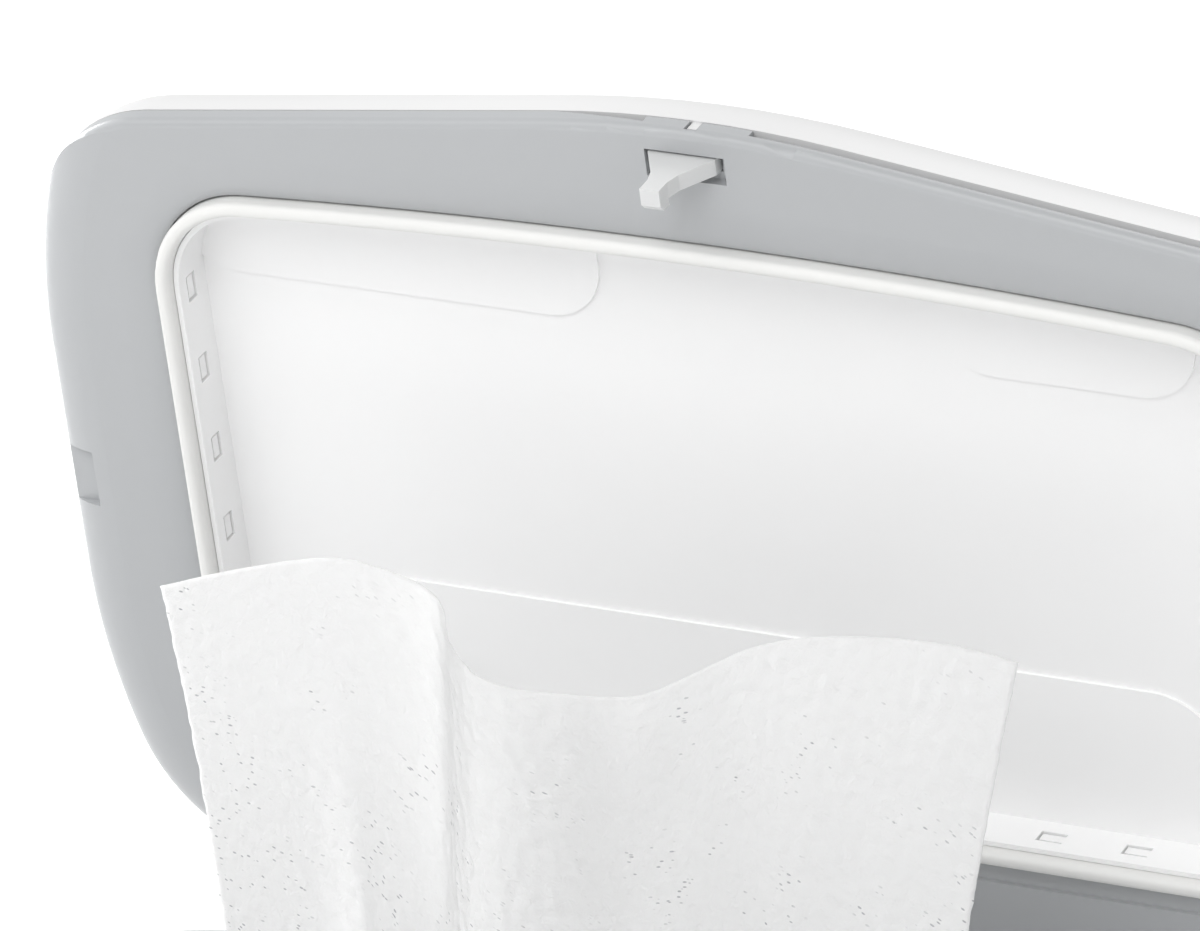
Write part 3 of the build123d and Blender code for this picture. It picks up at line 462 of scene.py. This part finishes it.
@dataclass
class StandingWipe:
    """The next wipe, drawn up through the slot: gathered below and fanned into two lobes above."""

    free_edge: tuple[tuple[float, float, float], ...] = (
        (-75.0, 10.9, 94.5), (-57.0, 4.9, 101.5), (-38.8, 0.9, 106.8), (-26.3, -0.1, 106.2),
        (-20.9, 2.9, 102.2), (-22.5, 9.9, 92.9), (-21.2, 16.9, 85.6), (-12.2, 20.9, 83.2),
        (6.2, 21.9, 85.9), (27.8, 16.9, 97.6), (46.4, 11.9, 103.2), (66.0, 6.9, 105.9), (78.0, 4.9, 105.5))
    throat_half_width: float = 39.0
    throat_depth: float = 4.0
    pleats: int = 10
    pleat_reach: float = 3.6
    folds: tuple[tuple[float, float, float, float], ...] = (
        (0.20, 0.030, 3.0, 0.42), (0.30, 0.045, -2.5, 0.35), (0.60, 0.055, -5.0, 0.80),
        (0.62, 0.050, 2.0, 0.30), (0.80, 0.045, -2.0, 0.38))
    thickness: float = 0.3
    crinkle: float = 0.10
    crinkle_wave: float = 2.8
    crinkle_spread: tuple[float, float] = (0.7, 2.0)
    crinkle_waves: int = 36
    rise_height: float = 0.2
    quick_rise: tuple[float, float] = (0.48, 0.66)
    late_power: tuple[float, float] = (1.72, 1.5)
    lean_power: float = 0.9
    gather_height: float = 0.16
    gather_power: float = 1.4
    merged_pleats: tuple[float, float, float, float, float] = (5, 0.8, 1.8, 0.22, 0.2)
    fold_height_spread: float = 0.3
    shut_share: float = 0.19
    columns: int = 236
    rows: int = 150
    seed: int = 7
    finish: Nonwoven = field(default_factory=lambda: Nonwoven("spunlace_wipe"))

    def surface(self) -> tuple[np.ndarray, float, float]:
        """Works out the folded sheet.

        A column runs from the slot to its place on the free edge. Its share of the way out is a quick
        tanh rise and then a slow power, its depth is a power of its height, and it gets cosine pleats
        that die away upwards, fewer and wider pleats above them, and a few long folds, each a Gaussian
        across and a hump in height. A fold is its place across, its width, its depth and its height.

        Returns:
            Points in millimetres from the slot's centre, and the sheet's flat width and height.
        """
        top = smooth_path(np.array(self.free_edge), self.columns)
        width = float(np.linalg.norm(np.diff(top, axis=0), axis=1).sum())
        s = np.linspace(0, 1, self.columns)[None, :]
        t = np.linspace(0, 1, self.rows)[:, None]
        quick = self.quick_rise[0] + (self.quick_rise[1] - self.quick_rise[0]) * s
        power = self.late_power[0] + (self.late_power[1] - self.late_power[0]) * s
        share = quick * np.tanh(t / self.rise_height) + (1 - quick) * t ** power
        x = (1 - share) * self.throat_half_width * (2 * s - 1) + share * top[None, :, 0]
        y = top[None, :, 1] * t ** self.lean_power
        z = -self.throat_depth + (top[None, :, 2] + self.throat_depth) * t
        gathered = np.exp(-(t / self.gather_height) ** self.gather_power)
        y = y + self.pleat_reach * gathered * np.cos(2 * np.pi * self.pleats * s)
        count, phase, depth, height, spread = self.merged_pleats
        y = y + depth * np.exp(-((t - height) / spread) ** 2) * np.cos(2 * np.pi * count * s + phase)
        for centre, spread, depth, height in self.folds:
            hump = np.exp(-((t - height) / self.fold_height_spread) ** 2)
            y = y + depth * np.exp(-((s - centre) / spread) ** 2) * hump
        return np.stack([x, y, z + 0 * s], axis=2), width, float(top[:, 2].mean() + self.throat_depth)

    def crinkled(self, points: np.ndarray, width: float, height: float) -> np.ndarray:
        """Moves each point along the surface's normal by a sum of waves of random direction.

        Args:
            points: the folded sheet.
            width: its flat width.
            height: its flat height.

        Returns:
            The crinkled sheet.
        """
        normal = np.cross(np.gradient(points, axis=1), np.gradient(points, axis=0))
        normal /= np.linalg.norm(normal, axis=2, keepdims=True)
        across = np.linspace(0, width, self.columns)[None, :]
        along = np.linspace(0, height, self.rows)[:, None]
        dice = np.random.default_rng(self.seed)
        relief = np.zeros((self.rows, self.columns))
        for _ in range(self.crinkle_waves):
            turn = dice.uniform(0, np.pi)
            length = self.crinkle_wave * dice.uniform(*self.crinkle_spread)
            phase = dice.uniform(0, 2 * np.pi)
            k = 2 * np.pi / length
            relief += np.cos(k * (across * np.cos(turn) + along * np.sin(turn)) + phase)
        relief *= self.crinkle / math.sqrt(self.crinkle_waves / 2)
        return points + normal * relief[:, :, None]

    def build(self) -> bpy.types.Object:
        """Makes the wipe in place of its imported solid.

        Returns:
            The wipe.
        """
        low, high = (np.array(corner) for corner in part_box("slot_grommet"))
        slot_top = np.array([(low[0] + high[0]) / 2, (low[1] + high[1]) / 2, high[2]])
        points, width, height = self.surface()
        points = self.crinkled(points, width, height)
        uv = np.stack(np.meshgrid(np.linspace(0, width, self.columns) * MM,
                                  np.linspace(0, height, self.rows) * MM), axis=2)
        piece = grid_mesh("standing_wipe", points * MM + slot_top, uv)
        wall = piece.modifiers.new("thickness", "SOLIDIFY")
        wall.thickness = self.thickness * MM
        wall.offset = 0.0
        settle(piece)
        piece.data.materials.append(self.finish.material())
        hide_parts("popped_wipe")
        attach(piece, "follower")
        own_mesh(piece)
        LOG.info("standing_wipe %.0f x %.0f mm, %d faces", width, height, len(piece.data.polygons))
        return piece


# ---------------------------------------------------------------- studio
@dataclass
class Camera:
    """Long-lens camera that looks into the open lid from the right."""

    azimuth: float = 27.53
    elevation: float = 16.3
    distance: float = 1820.6
    lens: float = 349.6
    hook_from_front: float = 6.85
    hook_right: float = 12.97
    hook_up: float = 46.17
    panel_below_axis: float = 1.5

    def hook_place(self, joints: list[dict]) -> Vector:
        """Works out where the hook leaves the panel, with the lid open.

        Args:
            joints: the frame's joints.

        Returns:
            The place in metres.
        """
        hinge = next(j for j in joints if j["name"] == "lid_hinge")
        axis_place = Vector(hinge["pos_m"])
        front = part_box("body_shell")[0][1]
        shut = Vector((0, front + self.hook_from_front * MM, axis_place.z - self.panel_below_axis * MM))
        turn = Matrix.Rotation(-math.radians(hinge["range_deg"][1]), 4, "X")
        return axis_place + turn @ (shut - axis_place)

    def build(self, joints: list[dict]) -> None:
        """Places the camera.

        Args:
            joints: the frame's joints.
        """
        turn, tilt = math.radians(self.azimuth), math.radians(self.elevation)
        right = Vector((math.cos(turn), math.sin(turn), 0))
        back = Vector((math.sin(turn) * math.cos(tilt), -math.cos(turn) * math.cos(tilt), math.sin(tilt)))
        up = back.cross(right)
        place = self.hook_place(joints)
        place += MM * (self.distance * back - self.hook_right * right - self.hook_up * up)
        data = bpy.data.cameras.new("camera")
        data.lens = self.lens
        data.sensor_width = 36.0
        data.sensor_fit = "HORIZONTAL"
        data.clip_end = 50.0
        camera = bpy.data.objects.new("camera", data)
        camera.matrix_world = Matrix.Translation(place) @ Matrix((right, up, back)).transposed().to_4x4()
        bpy.context.scene.collection.objects.link(camera)
        bpy.context.scene.camera = camera


@dataclass
class Studio:
    """Pale surroundings, soft lamps at the left and the front, and a large one behind."""

    world_level: float = 0.538
    floor_colour: str = "F2F2F2"
    floor_glow: float = 0.35
    floor_size: float = 40.0
    lamp_aim: tuple[float, float, float] = (0, 0.04, 0.14)
    lamps: tuple[tuple[str, tuple[float, float, float], float, float], ...] = (
        ("left", (-2.0, -0.2, 0.8), 1.4, 8.0), ("edge", (-1.5, 0.55, 0.5), 0.8, 15.0),
        ("key", (-1.1, -1.3, 1.7), 1.2, 9.0), ("front", (0.1, -1.6, 1.5), 1.2, 15.0),
        ("low_right", (1.5, -1.3, 0.25), 0.9, 3.0), ("rim", (0.2, 1.6, 1.6), 1.4, 18.0))

    def floor(self) -> None:
        """Lays the floor; what the camera sees of it is near white and keeps shadows."""
        mesh = bpy.data.meshes.new("floor")
        half = self.floor_size / 2
        mesh.from_pydata([(-half, -half, 0), (half, -half, 0), (half, half, 0), (-half, half, 0)], [],
                         [(0, 1, 2, 3)])
        floor = bpy.data.objects.new("floor", mesh)
        bpy.context.scene.collection.objects.link(floor)
        material, tree = empty_material("studio_floor")
        path = add_node(tree, "LightPath")
        seen = add_node(tree, "Math", {0: path.outputs["Is Camera Ray"], 1: path.outputs["Is Glossy Ray"]},
                        operation="MAXIMUM")
        seen = add_node(tree, "Math", {0: seen.outputs[0], 1: path.outputs["Is Transmission Ray"]},
                        operation="MAXIMUM")
        glow = add_node(tree, "Math", {0: seen.outputs[0], 1: self.floor_glow}, operation="MULTIPLY")
        matt = add_node(tree, "BsdfDiffuse", {"Color": linear(self.floor_colour)})
        light = add_node(tree, "Emission", {"Color": (1, 1, 1, 1), "Strength": glow.outputs[0]})
        both = add_node(tree, "AddShader", {0: matt.outputs[0], 1: light.outputs[0]})
        add_node(tree, "OutputMaterial", {"Surface": both.outputs[0]})
        mesh.materials.append(material)

    def world(self) -> None:
        """Lights the object evenly and shows white to the camera."""
        world = bpy.data.worlds.new("studio_world")
        world.use_nodes = True
        tree = world.node_tree
        tree.nodes.clear()
        path = add_node(tree, "LightPath")
        seen = add_node(tree, "Math", {0: path.outputs["Is Camera Ray"],
                                       1: path.outputs["Is Transmission Ray"]}, operation="MAXIMUM")
        level = add_node(tree, "MapRange", {"Value": seen.outputs[0], "To Min": self.world_level,
                                            "To Max": 1.0})
        sky = add_node(tree, "Background", {"Color": (1, 1, 1, 1), "Strength": level.outputs[0]})
        add_node(tree, "OutputWorld", {"Surface": sky.outputs[0]})
        bpy.context.scene.world = world

    def softbox(self, name: str, place: tuple[float, float, float], size: float, power: float) -> None:
        """Hangs a square area lamp that faces the lid.

        Args:
            name: name of the lamp.
            place: where it hangs, in metres.
            size: its side, in metres.
            power: watts.
        """
        data = bpy.data.lights.new(name, "AREA")
        data.size = size
        data.energy = power
        lamp = bpy.data.objects.new(name, data)
        aim = Vector(self.lamp_aim) - Vector(place)
        lamp.matrix_world = Matrix.Translation(place) @ aim.to_track_quat("-Z", "Y").to_matrix().to_4x4()
        bpy.context.scene.collection.objects.link(lamp)

    def build(self) -> None:
        """Builds floor, world and lamps."""
        self.floor()
        self.world()
        for lamp in self.lamps:
            self.softbox(*lamp)
        bpy.context.scene.view_settings.view_transform = "Standard"


def main() -> None:
    """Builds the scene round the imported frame."""
    logging.basicConfig(level=logging.INFO, format="%(message)s")
    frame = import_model()
    nodes = frame["nodes"]
    Camera().build(frame["joints"])
    joints = {joint["name"]: joint for joint in frame["joints"]}
    Lid(nodes).dress()
    body = Body(nodes)
    body.dress()
    body.give_way("button_spring", joints["button_press"], Along.Y, Fixed.HIGH)
    follower = Follower(nodes)
    follower.dress()
    follower.give_way("wipe_stack", joints["follower_slide"], Along.Z, Fixed.LOW)
    StandingWipe().build()
    Studio().build()


if __name__ == "__main__":
    main()
